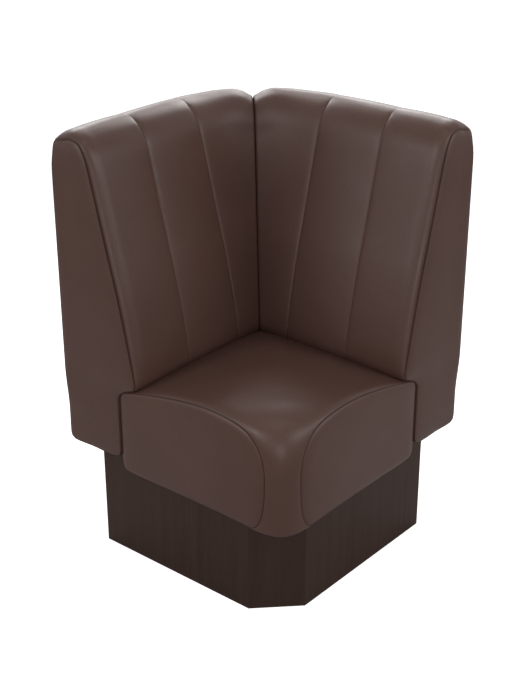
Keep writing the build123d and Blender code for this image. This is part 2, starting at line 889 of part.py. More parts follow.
with BuildPart() as frame_nuts:
    with BuildSketch(Plane.XY.offset(fixing_top + washer_thickness)) as nuts:
        with Locations(*[place(u, v) for u, v in all_bolts]):
            RegularPolygon(nut_diameter / 2, side_count=6, major_radius=False)
            Circle((bolt_diameter + hole_clearance) / 2, mode=Mode.SUBTRACT)
    extrude(nuts.sketch, amount=nut_height)
write(frame_nuts.part, "frame_nuts")
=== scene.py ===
import math
import bmesh
import bpy
import numpy as np
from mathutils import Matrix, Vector
from mathutils.geometry import delaunay_2d_cdt


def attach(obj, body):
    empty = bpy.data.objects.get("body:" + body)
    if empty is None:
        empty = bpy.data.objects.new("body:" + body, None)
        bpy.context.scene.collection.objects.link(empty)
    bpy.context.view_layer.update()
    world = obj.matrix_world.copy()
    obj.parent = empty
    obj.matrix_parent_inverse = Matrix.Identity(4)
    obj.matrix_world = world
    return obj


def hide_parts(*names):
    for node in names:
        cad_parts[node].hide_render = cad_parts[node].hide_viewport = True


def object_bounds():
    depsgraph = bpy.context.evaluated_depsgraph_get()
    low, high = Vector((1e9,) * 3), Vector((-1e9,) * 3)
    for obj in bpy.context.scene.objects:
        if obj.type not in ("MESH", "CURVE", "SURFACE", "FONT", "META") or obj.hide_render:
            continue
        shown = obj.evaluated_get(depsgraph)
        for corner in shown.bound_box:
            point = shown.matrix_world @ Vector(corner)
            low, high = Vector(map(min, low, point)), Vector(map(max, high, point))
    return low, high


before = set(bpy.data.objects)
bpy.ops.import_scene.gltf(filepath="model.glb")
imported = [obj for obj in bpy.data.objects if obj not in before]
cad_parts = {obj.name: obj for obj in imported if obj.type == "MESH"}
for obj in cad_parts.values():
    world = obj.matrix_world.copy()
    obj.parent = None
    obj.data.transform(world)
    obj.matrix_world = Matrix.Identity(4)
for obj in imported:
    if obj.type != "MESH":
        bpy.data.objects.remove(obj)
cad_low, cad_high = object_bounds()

# Places are given as distances u from the left wall and v from the back wall, and heights z.
# Shapes are worked out in millimetres, and the meshes are in metres.
millimetre = 0.001
half_length = (cad_high.x - cad_low.x) / 2
scene = bpy.context.scene
scene.view_settings.view_transform = "Standard"


def place(u, v, z):
    """A point of the row frame from its distances to the two walls, in metres."""
    return Vector((u - half_length, half_length - v, z))


# Camera: the photograph's view, fitted to the object's straight edges
camera_u, camera_v, camera_z = 1.9414, 2.2753, 1.6659
camera_pitch = math.radians(25.19)
camera_turn = math.radians(39.85)
camera_lens, camera_sensor = 70.18, 36.0  # millimetres


def add_camera():
    """Cameras look along their own -Z, so a level view is turned up by a right angle."""
    data = bpy.data.cameras.new("camera")
    data.lens = camera_lens
    data.sensor_width = camera_sensor
    camera = bpy.data.objects.new("camera", data)
    scene.collection.objects.link(camera)
    camera.location = place(camera_u, camera_v, camera_z)
    camera.rotation_euler = (math.pi / 2 - camera_pitch, 0, camera_turn)
    scene.camera = camera


add_camera()


# Materials


def new_material(name):
    """A material with its nodes, links and shader."""
    material = bpy.data.materials.new(name)
    material.use_nodes = True
    nodes, links = material.node_tree.nodes, material.node_tree.links
    return material, nodes, links, nodes["Principled BSDF"]


def node(nodes, kind, **values):
    """A new node; a value is a property of the node where it has one of that name, and else an input."""
    made = nodes.new(kind)
    for name, value in values.items():
        if hasattr(made, name):
            setattr(made, name, value)
        else:
            made.inputs[name].default_value = value
    return made


def ramp(nodes, links, factor, stops):
    """Colours or greys along a factor; returns the colour output."""
    made = nodes.new("ShaderNodeValToRGB")
    elements = made.color_ramp.elements
    while len(elements) < len(stops):
        elements.new(0.5)
    for element, (position, colour) in zip(elements, stops):
        element.position = position
        element.color = (*colour, 1) if isinstance(colour, tuple) else (colour, colour, colour, 1)
    links.new(factor, made.inputs["Fac"])
    return made.outputs["Color"]


def mixed_colour(nodes, links, kind, factor, first, second):
    """Two colours mixed or multiplied by a factor, which is a number or an output."""
    made = node(nodes, "ShaderNodeMix", data_type="RGBA", blend_type=kind)
    colours = [socket for socket in made.inputs if socket.type == "RGBA"]
    if isinstance(factor, float):
        made.inputs[0].default_value = factor
    else:
        links.new(factor, made.inputs[0])
    for socket, colour in zip(colours, (first, second)):
        if isinstance(colour, tuple):
            socket.default_value = (*colour, 1)
        else:
            links.new(colour, socket)
    return [socket for socket in made.outputs if socket.type == "RGBA"][0]


def bumped(nodes, links, shader, layers):
    """Chained bumps from (height output, strength, distance in metres)."""
    normal = None
    for height, strength, distance in layers:
        bump = node(nodes, "ShaderNodeBump", Strength=strength, Distance=distance)
        links.new(height, bump.inputs["Height"])
        if normal is not None:
            links.new(normal, bump.inputs["Normal"])
        normal = bump.outputs["Normal"]
    links.new(normal, shader.inputs["Normal"])


def mixed_shader(nodes, links, factor, first, second):
    """Two shaders mixed by an output; returns the shader output."""
    made = node(nodes, "ShaderNodeMixShader")
    for socket, output in zip(made.inputs, (factor, first, second)):
        links.new(output, socket)
    return made.outputs["Shader"]


def linear(*display):
    """A display colour of 0 to 255 as linear light."""
    shares = [value / 255 for value in display]
    return tuple(s / 12.92 if s <= 0.04045 else ((s + 0.055) / 1.055) ** 2.4 for s in shares)


leather_dark, leather_light = linear(78, 55, 48), linear(83, 59, 52)
# the second colour here is painted shade for the seam grooves and the crease between the backs
leather_pore, seam_shade_colour = linear(64, 44, 38), linear(22, 14, 12)
leather_specular, wood_specular = 0.22, 0.14
leather_polish = {"From Min": 0.3, "From Max": 0.7, "To Min": 0.32, "To Max": 0.42}
tone_scale, polish_scale, pebble_scale, pore_scale = 5.0, 13.0, 520.0, 900.0
pebble_bump, pore_bump = (0.22, 0.0003), (0.15, 0.0002)  # strength and distance in metres


def leather_material():
    """Satin faux leather: a fine pebble grain and slow changes of tone, with painted shade and a duller
    sheen in the seam grooves and the crease between the backs.
    """
    material, nodes, links, shader = new_material("faux_leather")
    spot = node(nodes, "ShaderNodeTexCoord").outputs["Object"]

    def noise(scale, detail, roughness=0.55):
        made = node(nodes, "ShaderNodeTexNoise", Scale=scale, Detail=detail, Roughness=roughness)
        links.new(spot, made.inputs["Vector"])
        return made.outputs["Fac"]

    tone = ramp(nodes, links, noise(tone_scale, detail=4.0), [(0.35, leather_dark), (0.65, leather_light)])
    pores = noise(pore_scale, detail=3.0, roughness=0.6)
    pore_share = ramp(nodes, links, pores, [(0.3, 0.0), (0.55, 1.0)])
    colour = mixed_colour(nodes, links, "MIX", pore_share, leather_pore, tone)
    # the seam attribute is painted shade: it darkens the leather in the seam grooves and the crease between
    # the backs
    seam = node(nodes, "ShaderNodeAttribute", attribute_name="seam").outputs["Fac"]
    seam_share = ramp(nodes, links, seam, [(0.1, 0.0), (1.0, 0.65)])
    colour = mixed_colour(nodes, links, "MIX", seam_share, colour, seam_shade_colour)
    links.new(colour, shader.inputs["Base Color"])
    polish = node(nodes, "ShaderNodeMapRange", **leather_polish)
    links.new(noise(polish_scale, detail=5.0, roughness=0.6), polish.inputs["Value"])
    links.new(polish.outputs["Result"], shader.inputs["Roughness"])
    pebbles = node(nodes, "ShaderNodeTexVoronoi", feature="SMOOTH_F1", Scale=pebble_scale, Smoothness=0.6)
    links.new(spot, pebbles.inputs["Vector"])
    bumped(nodes, links, shader, [(pebbles.outputs["Distance"], *pebble_bump), (pores, *pore_bump)])
    sheen = ramp(nodes, links, seam, [(0.0, leather_specular), (1.0, leather_specular / 4)])
    links.new(sheen, shader.inputs["Specular IOR Level"])
    return material


def wood_material(name, dark, light, along, roughness=0.45, bump=0.2, pore_depth=0.55):
    """Board with straight grain along one axis: long streaks and pores, given by their scales."""
    material, nodes, links, shader = new_material(name)
    spot = node(nodes, "ShaderNodeTexCoord").outputs["Object"]

    def streaks(across, length, **values):
        mapping = node(nodes, "ShaderNodeMapping")
        stretch = [across] * 3
        stretch["XYZ".index(along)] = length
        mapping.inputs["Scale"].default_value = stretch
        links.new(spot, mapping.inputs["Vector"])
        made = node(nodes, "ShaderNodeTexNoise", **values)
        links.new(mapping.outputs["Vector"], made.inputs["Vector"])
        return made.outputs["Fac"]

    middle = tuple((a + b) / 2 for a, b in zip(dark, light))
    wide = streaks(across=38.0, length=1.4, Scale=2.2, Detail=6.0, Roughness=0.62, Distortion=0.4)
    colours = ramp(nodes, links, wide, [(0.28, dark), (0.5, middle), (0.74, light)])
    fine = streaks(across=420.0, length=16.0, Scale=1.0, Detail=2.0, Roughness=0.5)
    pores = ramp(nodes, links, fine, [(0.36, pore_depth), (0.5, 1.0)])
    links.new(mixed_colour(nodes, links, "MULTIPLY", 0.8, colours, pores), shader.inputs["Base Color"])
    bumped(nodes, links, shader, [(pores, bump, 0.0003)])
    shader.inputs["Roughness"].default_value = roughness
    shader.inputs["Specular IOR Level"].default_value = wood_specular
    return material


def speckled_material(name, dark, light, stretch, metallic, roughness, bump):
    """Brushed metal or fibre cloth from one noise, stretched where the lines run."""
    material, nodes, links, shader = new_material(name)
    mapping = node(nodes, "ShaderNodeMapping")
    mapping.inputs["Scale"].default_value = stretch
    links.new(node(nodes, "ShaderNodeTexCoord").outputs["Object"], mapping.inputs["Vector"])
    lines = node(nodes, "ShaderNodeTexNoise", Scale=1.0, Detail=4.0, Roughness=0.6)
    links.new(mapping.outputs["Vector"], lines.inputs["Vector"])
    colours = ramp(nodes, links, lines.outputs["Fac"], [(0.32, dark), (0.68, light)])
    links.new(colours, shader.inputs["Base Color"])
    bumped(nodes, links, shader, [(lines.outputs["Fac"], bump, 0.0002)])
    shader.inputs["Metallic"].default_value = metallic
    shader.inputs["Roughness"].default_value = roughness
    return material


leather = leather_material()
plinth_wood = wood_material(
    "plinth_wenge", linear(51, 35, 29), linear(59, 43, 37), "Z", roughness=0.5, bump=0.12, pore_depth=0.85)
timber = wood_material("frame_softwood", linear(168, 132, 88), linear(205, 170, 122), "X", roughness=0.6)
plywood = wood_material("plywood_birch", linear(176, 142, 98), linear(206, 176, 132), "Z", roughness=0.58)
steel = speckled_material(
    "zinc_plate", linear(150, 152, 150), linear(196, 197, 192),
    stretch=(900.0, 900.0, 60.0), metallic=1.0, roughness=0.38, bump=0.15)
black_cloth = speckled_material(
    "bottom_cloth_weave", linear(20, 19, 19), linear(40, 38, 37),
    stretch=(700.0, 700.0, 700.0), metallic=0.0, roughness=0.9, bump=0.4)

# By the start of a node's name; the other nodes are timber, and thin boards are plywood
node_materials = {
    "plinth": plinth_wood, "seat_bottom_cloth": black_cloth, "base_screws": steel, "frame_bolts": steel,
    "frame_nuts": steel, "frame_washers": steel, "seat_deck": plywood,
}
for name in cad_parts:
    chosen = next((m for start, m in node_materials.items() if name.startswith(start)), timber)
    if name.endswith(("rear_panel", "ribs", "board")) and not name.startswith("plinth"):
        chosen = plywood
    mesh = bpy.data.objects[name].data
    if not mesh.materials:
        mesh.materials.append(chosen)
    for index in range(len(mesh.materials)):
        mesh.materials[index] = chosen


# Shapes: helpers

tiny = 1e-9  # the smallest divisor


def smoothstep(low, high, value):
    """A share that grows smoothly from 0 at low to 1 at high."""
    t = np.clip((np.asarray(value, float) - low) / (high - low), 0, 1)
    return t * t * (3 - 2 * t)


def bell(distance, reach):
    """1 at a line, which falls off within a reach to both sides."""
    return np.exp(-((distance / reach) ** 2))


def hermite(t):
    """Weights of the start, its tangent, the end and its tangent on a smooth curve."""
    return 2 * t**3 - 3 * t**2 + 1, t**3 - 2 * t**2 + t, -2 * t**3 + 3 * t**2, t**3 - t**2


def smooth_loop(values, passes):
    """Rounds a closed loop of points evenly by repeated averaging with the neighbours."""
    for _ in range(passes):
        values = values + 0.5 * ((np.roll(values, 1, 0) + np.roll(values, -1, 0)) / 2 - values)
    return values


def spline_loop(table, per_span):
    """A closed smooth curve through the rows of a table."""
    points = np.array(table, float)
    count = len(points)
    result = []
    for i in range(count):
        p0, p1, p2, p3 = points[i - 1], points[i], points[(i + 1) % count], points[(i + 2) % count]
        length = np.linalg.norm(p2[:2] - p1[:2])
        before, after = np.linalg.norm(p1[:2] - p0[:2]), np.linalg.norm(p3[:2] - p2[:2])
        tangent_in = (p2 - p0) / (length + before) * length
        tangent_out = (p3 - p1) / (length + after) * length
        for k in range(per_span):
            h = hermite(k / per_span)
            result.append(h[0] * p1 + h[1] * tangent_in + h[2] * p2 + h[3] * tangent_out)
    return np.array(result)


def respace(loop, spacing):
    """Points of a closed loop set anew, as far apart as the spacing function says for each place."""
    closed = np.vstack([loop, loop[:1]])
    step = np.linalg.norm(np.diff(closed[:, :2], axis=0), axis=1)
    middle = (closed[1:] + closed[:-1]) / 2
    along = np.concatenate([[0], np.cumsum(step / np.array([spacing(point) for point in middle]))])
    wanted = np.linspace(0, along[-1], int(round(along[-1])), endpoint=False)
    return np.stack([np.interp(wanted, along, closed[:, k]) for k in range(closed.shape[1])], axis=1)


def outward_normals(loop, centre):
    """Unit normals of a closed plane loop, pointing away from a point inside it."""
    tangent = np.roll(loop, -1, 0) - np.roll(loop, 1, 0)
    normal = np.stack([-tangent[:, 1], tangent[:, 0]], axis=1)
    normal /= np.maximum(np.linalg.norm(normal, axis=1, keepdims=True), tiny)
    return normal * np.sign(np.sum(normal * (loop - centre)))


def placed_mesh(name, points, faces, mirrored):
    """A mesh from points given as u, v, z in millimetres; mirrored swaps the two walls."""
    points = np.array(points, float)
    if mirrored:
        points = points[:, [1, 0, 2]]
    placed = points * millimetre
    placed = np.stack([placed[:, 0] - half_length, half_length - placed[:, 1], placed[:, 2]], axis=1)
    mesh = bpy.data.meshes.new(name)
    mesh.from_pydata([tuple(p) for p in placed], [], faces)
    work = bmesh.new()
    work.from_mesh(mesh)
    bmesh.ops.recalc_face_normals(work, faces=work.faces)
    work.to_mesh(mesh)
    work.free()
    mesh.polygons.foreach_set("use_smooth", [True] * len(mesh.polygons))
    made = bpy.data.objects.new(name, mesh)
    scene.collection.objects.link(made)
    return made


def strip_faces(first, second, around):
    """Faces between two closed rings, given the numbers of their first points."""
    steps = [(i, (i + 1) % around) for i in range(around)]
    return [(first + i, first + k, second + k, second + i) for i, k in steps]


def tube_faces(start, rings, around):
    """Faces of a row of closed rings of the same number of points, given the number of the first."""
    starts = [start + r * around for r in range(rings)]
    return [face for pair in zip(starts, starts[1:]) for face in strip_faces(*pair, around)]


def hollow_out(target, points, mirrored):
    """Takes the hull of some points out of a piece."""
    cutter = placed_mesh("cutter", points, [], mirrored)
    work = bmesh.new()
    work.from_mesh(cutter.data)
    hull = bmesh.ops.convex_hull(work, input=work.verts)
    loose = list(set(hull["geom_interior"] + hull["geom_unused"]))
    bmesh.ops.delete(work, geom=loose, context="VERTS")
    bmesh.ops.recalc_face_normals(work, faces=work.faces)
    work.to_mesh(cutter.data)
    work.free()
    change = target.modifiers.new("hollow", "BOOLEAN")
    change.operation, change.solver, change.object = "DIFFERENCE", "EXACT", cutter
    graph = bpy.context.evaluated_depsgraph_get()
    result = bpy.data.meshes.new_from_object(target.evaluated_get(graph))
    target.modifiers.clear()
    target.data = result
    bpy.data.objects.remove(cutter)


def inside(points, outline):
    """Which points lie inside a closed outline."""
    x, y = points[:, 0][:, None], points[:, 1][:, None]
    ax, ay = outline[:, 0][None, :], outline[:, 1][None, :]
    bx, by = np.roll(ax, -1, 1), np.roll(ay, -1, 1)
    crossed = (ay > y) != (by > y)
    edge_x = (bx - ax) * (y - ay) / np.where(by == ay, tiny, by - ay) + ax
    return np.sum(crossed & (x < edge_x), axis=1) % 2 == 1


def outline_distance(points, outline):
    """How far points lie from a closed outline."""
    start, step = outline[None], (np.roll(outline, -1, 0) - outline)[None]
    offset = points[:, None] - start
    share = np.clip(np.sum(offset * step, axis=2) / np.maximum(np.sum(step * step, axis=2), tiny), 0, 1)
    return np.min(np.linalg.norm(offset - share[..., None] * step, axis=2), axis=1)


def membrane(outline, step):
    """The height, from 0 to 1, of a skin held at an outline and blown up, as a function of points in it."""
    low = outline.min(0) - 2 * step
    size = np.ceil((outline.max(0) - low) / step).astype(int) + 3
    lines = [low[k] + step * np.arange(size[k]) for k in (0, 1)]
    grid = np.stack(np.meshgrid(*lines, indexing="ij"), axis=2)
    held = inside(grid.reshape(-1, 2), outline).reshape(size)
    height = np.zeros(size)
    for _ in range(membrane_passes):
        rows = np.roll(height, 1, 0) + np.roll(height, -1, 0)
        height = np.where(held, (rows + np.roll(height, 1, 1) + np.roll(height, -1, 1) + 1) / 4, 0)
    height /= height.max()

    def read(points):
        place_in_grid = (points - low) / step
        base = np.clip(np.floor(place_in_grid).astype(int), 0, size - 2)
        share = place_in_grid - base
        weights = 1 - share, share
        result = 0
        for i, j in ((0, 0), (0, 1), (1, 0), (1, 1)):
            result = result + weights[i][:, 0] * weights[j][:, 1] * height[base[:, 0] + i, base[:, 1] + j]
        return result

    return read


# A sewn panel: its rings of points along the seam, its groove at the seam and how it rises from there
membrane_passes, membrane_step = 2500, 4.5
panel_grid, grid_margin = 9.0, 0.6
panel_offsets = (0.8, 1.8, 3.2, 5.2, 8.0)
seam_reach = 1.1
panel_groove, panel_rise_run = 1.1, 4.5
crown_rim_share, crown_power = 0.3, 0.6
delaunay_within, delaunay_gap = 1, 1e-5  # only triangles inside the outline


def sewn_panel(seam, crown, first_index):
    """A panel sewn into a seam ring: drawn in at the seam and crowned between, by a crown of points.

    Gives its new points, the closeness of each to the seam, and its faces, whose numbers start as given.
    """
    flat = seam[:, [0, 2]]
    centre = flat.mean(0)
    normal = -outward_normals(flat, centre)
    around = len(flat)
    rings = [flat + normal * offset for offset in panel_offsets]
    inner = rings[-1]
    steps = [np.arange(inner.min(0)[k], inner.max(0)[k], panel_grid) for k in (0, 1)]
    grid = np.stack(np.meshgrid(*steps, indexing="ij"), axis=2).reshape(-1, 2)
    grid = grid[inside(grid, inner)]
    grid = grid[outline_distance(grid, inner) > panel_grid * grid_margin]
    corners = [Vector(point) for point in np.vstack([inner, grid])]
    found = delaunay_2d_cdt(corners, [], [list(range(around))], delaunay_within, delaunay_gap)
    new_flat = np.vstack(rings + [grid])
    last = first_index + (len(rings) - 1) * around
    # a corner found takes the number of the first point that it came from
    number = [last + origins[0] for origins in found[3]]
    faces = [tuple(number[k] for k in face) for face in found[2]]
    faces += tube_faces(first_index, len(rings), around)
    distance = outline_distance(new_flat, flat)
    weight = 1 / (np.linalg.norm(new_flat[:, None] - flat[None], axis=2) ** 2 + distance[:, None] ** 2 + 1)
    base = (weight @ seam[:, 1]) / weight.sum(1)
    lift = crown(new_flat) * (1 - np.exp(-distance / panel_rise_run))
    blown = membrane(flat, membrane_step)(new_flat) ** crown_power
    lift = lift * (crown_rim_share + (1 - crown_rim_share) * blown)
    lift = lift - panel_groove * np.exp(-distance / seam_reach)
    points = np.column_stack([new_flat[:, 0], base + lift, new_flat[:, 1]])
    return points, bell(distance, seam_reach), faces


def finish_piece(made, seam_shades, replaced):
    """Material, seam closeness, body and the CAD nodes that a piece stands for."""
    # the seam closeness goes into the seam attribute, which the leather turns into painted shade
    layer = made.data.attributes.new("seam", "FLOAT", "POINT")
    layer.data.foreach_set("value", np.array(seam_shades, float))
    made.data.materials.append(leather)
    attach(made, "root")
    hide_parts(*replaced)


# Back pads

rear_cut, cut_round = 160.0, 10
crest_depth = 48.0
left_channels, right_channels = (272.0, 426.5), (279.0, 434.5)
# Depth, height, how much further forward the row is at the mitre, draw-in at the open end
back_rows = [
    (0, 290, 0, 3), (0, 360, 0, 4), (0, 480, 0, 4), (0, 600, 0, 4), (0, 720, 0, 4), (0, 840, 0, 4),
    (0, 890, 0, 5), (1, 912, 0, 5), (5, 923, 0, 9), (14, 932, 0, 14), (29, 939, 0, 17), (48, 942, 44, 16),
    (62, 939, 41, 14), (73, 934.5, 38, 13), (83, 927, 34, 13), (94, 913, 30, 14), (103, 894, 26, 15),
    (110, 870, 22, 15), (118, 838, 20, 15), (132, 782, 14, 15), (151, 708, 8, 15), (169, 641, 2, 15),
    (187, 561, -1, 15), (198, 500, -1, 13), (202, 464, 0, 10), (201.5, 449, 0, 7), (197, 437, 0, 5),
    (187, 430, 0, 4), (175, 425, 0, 4), (162, 418, 0, 3), (151, 409, 0, 1), (148.8, 396, 0, 1),
    (148.8, 340, 0, 1), (148.8, 290, 0, 1), (144, 274, 0, -2), (128, 269, 0, -4), (70, 269, 24, -4),
    (14, 269, 11.5, -3), (4, 274, 3.2, 0),
]
# How far the top comes down near the mitre, by the distance from the mitre plane
top_fall = [
    (0, 25), (3.5, 23.6), (7, 21.8), (11.5, 19), (17, 15.3), (23.5, 11.9), (31, 8.6), (39, 6.6), (48, 5.6),
    (58, 5.2), (79, 5), (102, 4.5), (114, 4), (127, 3.3), (139, 2.3), (151, 1.3), (164, 0.3), (178, 0),
]
# How far the top comes down near the open end, by the distance from the end
end_fall = [(0, 6.5), (8, 5.8), (20, 4.2), (35, 2.6), (55, 1.2), (80, 0.3), (110, 0)]
crest_row = 11
# Points in each span of the spline, and passes of smoothing
rows_spline, rows_smoothing = 12, 9
middle_of_section = np.array([80.0, 480.0])
mitre_power, mitre_gap = 2.5, 0.3
mitre_centre = [125.0, 125.0 + mitre_gap, 480.0]
end_seam, end_round = 580.5, 32.0
end_tuck, end_tuck_angle = 1.0, 0.12
rear_bulge, foot_bulge = 6.0, 4
panel_swell, swell_reach = 1.8, 30.0
groove_depth, groove_reach, stitch_reach, groove_off_top = 1.0, 4.0, 1.2, 0.85
shoulder_dip, shoulder_reach = 1.2, 6.0
# crease_shade, channel_shade and end_shade_off_top set the painted shade carried by the seam attribute
crease_round, crease_shade, crease_reach = 5.0, 0.6, 5.0
channel_shade, end_shade_off_top = 0.15, 0.5
end_crown_low, end_crown_rise, end_crown_heights = 2.4, 5.0, (390, 480)
rear_end_fall = 0.2
# Depths and heights of the section between which a part of it begins or ends
front_depths, front_heights = (6, 40), (408, 440)
top_heights, top_depths = (895, 925), (60, 85)
shoulder_from, shoulder_to, shoulder_depths = (880, 905), (932, 942), (50, 70)
fall_heights, fall_depths = (790, 925), (4, 30)
rear_from, rear_to, rear_depths = (330, 440), (860, 940), (0, 70)
seam_depths, seam_heights = (4, 12), (405, 420)
# Rings of a back: shares of the inner panel, steps of the outer panels within a distance of a channel,
# and steps round the open end
inner_shares = [0.0, 0.008, 0.018, 0.03, 0.046, 0.066, 0.09, 0.12, *np.arange(0.16, 0.92, 0.04)]
inner_shares += [0.93, 0.955, 0.97, 0.981, 0.989, 0.995]
outer_steps = [(3, 0.9), (6, 1.4), (14, 2.4), (math.inf, 6.0)]
end_steps = 12


def rear_line(run):
    """Depth of the rear face, which turns along the cut corner."""
    rest = rear_cut - run
    return (rest + np.sqrt(rest**2 + cut_round**2)) / 2


def back_spacing(point):
    """Wide on the flat rear face and behind the seat, and close on what is seen."""
    if point[0] < 2 and point[1] < 890:
        return 12.0
    return 10.0 if point[1] < 400 else 3.6


def back_loop():
    """Columns: depth, height, depth at the mitre, draw-in at the end, share of the rear line in the row."""
    rows = []
    for index, (u, z, forward, draw) in enumerate(back_rows):
        behind = index <= crest_row or z < 280 and u < crest_depth
        rear_share = max(0.0, 1 - u / crest_depth) if behind else 0.0
        if index < crest_row:
            forward = (1 - rear_share) * back_rows[crest_row][2]
        # the rear line meets the mitre at half the cut
        rows.append((u, z, u + forward + rear_share * rear_cut / 2, draw, rear_share))
    return respace(smooth_loop(spline_loop(rows, rows_spline), rows_smoothing), back_spacing)


def channel_gap(runs, channels):
    """How far runs lie from the nearest channel."""
    return np.min([np.abs(runs - channel) for channel in channels], axis=0)


def outer_runs(channels):
    """Runs of the rings from the first channel to where the open end begins to round."""
    runs, run = [], channels[0]
    while run < end_seam - end_round:
        runs.append(run)
        gap = channel_gap(run, channels)
        run += next(step for within, step in outer_steps if gap < within)
    return runs


def back_pad(name, mirrored, channels, replaced):
    """A back's foam, cover and end panel, from rings round its section between mitre and open end."""
    table = back_loop()
    depth, height, mitre, draw, rear_share = table.T
    around = len(table)
    normal = outward_normals(table[:, :2], middle_of_section)
    front = smoothstep(*front_depths, depth) * smoothstep(*front_heights, height)
    top = smoothstep(*top_heights, height) * (1 - smoothstep(*top_depths, depth))
    shoulder = smoothstep(*shoulder_from, height) * (1 - smoothstep(*shoulder_to, height))
    shoulder = shoulder * smoothstep(*shoulder_depths, depth)
    top_share = smoothstep(*fall_heights, height)
    end_share = rear_end_fall + (1 - rear_end_fall) * smoothstep(*fall_depths, depth)
    roll = crease_round * front
    first = channels[0]
    reach = first - mitre
    forward = mitre - rear_share * rear_line(mitre) - depth
    below_top, behind = 1 - smoothstep(*rear_to, height), 1 - smoothstep(*rear_depths, depth)
    rear = smoothstep(*rear_from, height) * below_top * behind
    foot = foot_bulge * below_top * behind
    seam_run = end_seam + foot + rear_bulge * rear
    rings, seam_shades = [], []

    def add_ring(u, v, z, gap, seam):
        """One ring with its channel groove, its fall at the top and its rounding into the crease."""
        lift = panel_swell * (1 - np.exp(-gap / swell_reach))
        groove = groove_depth * np.exp(-gap / groove_reach) + bell(gap, stitch_reach)
        dip = shoulder_dip * np.exp(-gap / shoulder_reach) * shoulder
        lift = (lift - groove * (1 - groove_off_top * top)) * front - dip
        across = np.maximum(v - u, 0) / math.sqrt(2)
        fall = np.interp(across, *zip(*top_fall)) + end_share * np.interp(end_seam - v, *zip(*end_fall))
        z = z - top_share * fall
        drop = roll * (1 - np.sqrt(1 - np.clip(1 - across / np.maximum(roll, 0.01), 0, 1) ** 2))
        u = u + normal[:, 0] * (lift - drop / math.sqrt(2))
        v = v - normal[:, 0] * drop / math.sqrt(2)
        z = z + normal[:, 1] * (lift - drop)
        rings.append(np.stack([np.minimum(u, v - mitre_gap), v, z], axis=1))
        # painted shade along the channels and into the crease, on the front above the seat
        seam_shades.append(seam * smoothstep(*seam_depths, depth) * smoothstep(*seam_heights, height))

    for share in inner_shares:
        v = mitre + share * reach
        u = depth + forward * (1 - share) ** mitre_power + rear_share * rear_line(v)
        gap = first - v
        # painted shade that darkens the inner panel towards the crease between the backs
        crease = crease_shade * bell(v - mitre, crease_reach)
        add_ring(u, v, height.copy(), gap, np.maximum(channel_shade * bell(gap, seam_reach), crease))
    for run in outer_runs(channels):
        v = np.full(around, run)
        gap = np.full(around, channel_gap(run, channels))
        add_ring(depth.copy(), v, height.copy(), gap, channel_shade * bell(gap, seam_reach))
    level = rings[-1][:, [0, 2]]
    for angle in np.radians(np.linspace(0, 90, end_steps + 1)[1:]):
        v = seam_run - end_round * (1 - math.sin(angle))
        tuck = end_tuck * math.exp(-(math.pi / 2 - angle) / end_tuck_angle)
        inward = draw * (1 - math.cos(angle)) + tuck
        spot = level - normal * inward[:, None]
        rings.append(np.stack([spot[:, 0], v, spot[:, 1]], axis=1))
        # painted shade at the end seam, weaker over the top
        seam_shades.append(bell(seam_run - v, seam_reach) * (1 - end_shade_off_top * top))
    points = np.vstack(rings)
    seam_shades = np.concatenate(seam_shades)
    faces = tube_faces(0, len(rings), around)
    crown = lambda flat: end_crown_low + end_crown_rise * smoothstep(*end_crown_heights, flat[:, 1])
    extra, extra_seam_shades, extra_faces = sewn_panel(rings[-1], crown, len(points))
    faces += extra_faces + strip_faces(len(points) - around, len(points), around)
    # the flat face on the mitre is a fan round one point
    points = np.vstack([points, extra, [mitre_centre]])
    seam_shades = np.concatenate([seam_shades, extra_seam_shades, [0]])
    faces += [((i + 1) % around, i, len(points) - 1) for i in range(around)]
    made = placed_mesh(name, points, faces, mirrored)
    finish_piece(made, seam_shades, replaced=replaced)
    for hollow in frame_hollows:
        hollow_out(made, hollow, mirrored)
    return made


# Depth and height of the front of a back's boards, at the top and where they turn upright
board_top, board_foot = (44.5, 903.5), (122.5, 551)
below, outside = 200.0, -5


def front_of_boards(u):
    """Height of the sloped face board's front at a depth."""
    rise, run = board_top[1] - board_foot[1], board_foot[0] - board_top[0]
    return board_foot[1] + (board_foot[0] - u) * rise / run


# What the boards of one back fill, with a little room, and open below and behind
long_section = [(outside, below), (outside, board_top[1]), board_top, board_foot, (board_foot[0], below)]
rear_panel = [(161.9, below), (572.4, below), (572.4, 917.4), (194.3, 917.4), (161.9, 896.9)]
frame_hollows = [
    # the frame along the wall
    [(u, v, z) for u, z in long_section for v in (189.0, 560.5)],
    # the frame from there to the cut corner and the mitre
    [(u, v, z) for u in (outside, 48.9, 81.6, board_foot[0]) for v in (max(162.2 - u, u - 1), 189.5)
     for z in (below, min(883.5, front_of_boards(u)))],
    # the end of the top rail, over that
    [(u, v, z) for u in (-1.0, board_top[0]) for v in (188.2 - u, 189.5) for z in (870.0, board_top[1])],
    # the rear panel
    [(u, v, z) for u in (outside, 6.3) for v, z in rear_panel],
]


# Seat cushion

seat_seam_run = 578.0
